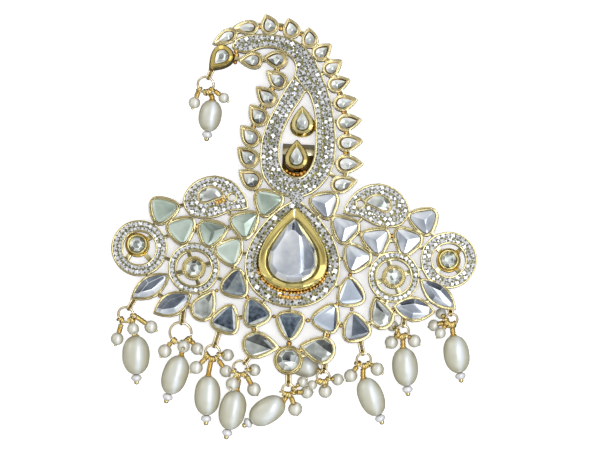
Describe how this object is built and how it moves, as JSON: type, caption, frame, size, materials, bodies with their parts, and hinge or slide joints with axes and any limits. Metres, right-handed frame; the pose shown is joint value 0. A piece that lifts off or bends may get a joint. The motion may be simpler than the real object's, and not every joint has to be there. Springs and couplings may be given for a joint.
{
  "type": "turban ornament",
  "caption": "Flat turban ornament: a paisley crest over winged medallions, set with cut stones and paving, hung with oval and round pearls, with a spring clip behind.",
  "frame": {"origin": "on the resting face of the back clip, under the big centre stone", "axes": "+X to the right seen from the front, +Y up towards the crest, +Z out of the front, away from the surface on which the ornament lies"},
  "size_m": [0.1021, 0.1193, 0.0136],
  "materials": {
    "frame_gold": "polished",
    "polished_gold": "mirror polished",
    "clip_gold": "satin",
    "wire_gold": "polished",
    "paving": "many small cut stones set in gold",
    "lavender_glass": "cut, foil backed",
    "clear_glass": "cut, foil backed",
    "sage_glass": "cut, foil backed",
    "slate_glass": "cut, foil backed",
    "pearl": "pearl lustre",
    "white_bead": "gloss"
  },
  "bodies": {
    "root": {"base_frame": "frame_gold", "crest_frame": "frame_gold", "center_setting": "polished_gold", "upper_drop_setting": "polished_gold", "lower_drop_setting": "polished_gold", "tip_setting": "polished_gold", "medallion_cups": "polished_gold", "back_clip": "clip_gold", "crest_pave": "paving", "halo_pave": "paving", "medallion_pave": "paving", "center_stone": "lavender_glass", "trillion_stone_11": "lavender_glass", "trillion_stone_12": "lavender_glass", "trillion_stone_13": "lavender_glass", "trillion_stone_14": "lavender_glass", "trillion_stone_15": "lavender_glass", "trillion_stone_16": "lavender_glass", "trillion_stone_17": "lavender_glass", "trillion_stone_18": "lavender_glass", "trillion_stone_19": "lavender_glass", "crest_outer_stones": "lavender_glass", "crest_inner_stones": "lavender_glass", "leaf_stones": "lavender_glass", "comma_stones": "lavender_glass", "upper_drop_stone": "clear_glass", "lower_drop_stone": "clear_glass", "bottom_round_stone": "clear_glass", "mango_stones": "clear_glass", "cup_stones": "clear_glass", "flower_stones": "clear_glass", "tip_stone": "sage_glass", "trillion_stone_1": "sage_glass", "trillion_stone_2": "sage_glass", "trillion_stone_3": "sage_glass", "trillion_stone_4": "sage_glass", "trillion_stone_5": "sage_glass", "trillion_stone_6": "sage_glass", "trillion_stone_7": "slate_glass", "trillion_stone_8": "slate_glass", "trillion_stone_9": "slate_glass", "trillion_stone_10": "slate_glass", "oval_pearl_0": "pearl", "oval_pearl_1": "pearl", "oval_pearl_2": "pearl", "oval_pearl_3": "pearl", "oval_pearl_4": "pearl", "oval_pearl_5": "pearl", "oval_pearl_6": "pearl", "oval_pearl_7": "pearl", "oval_pearl_8": "pearl", "oval_pearl_9": "pearl", "seed_pearls": "pearl", "spacer_beads": "white_bead", "head_pins": "wire_gold", "jump_rings": "wire_gold"}
  },
  "joints": []
}
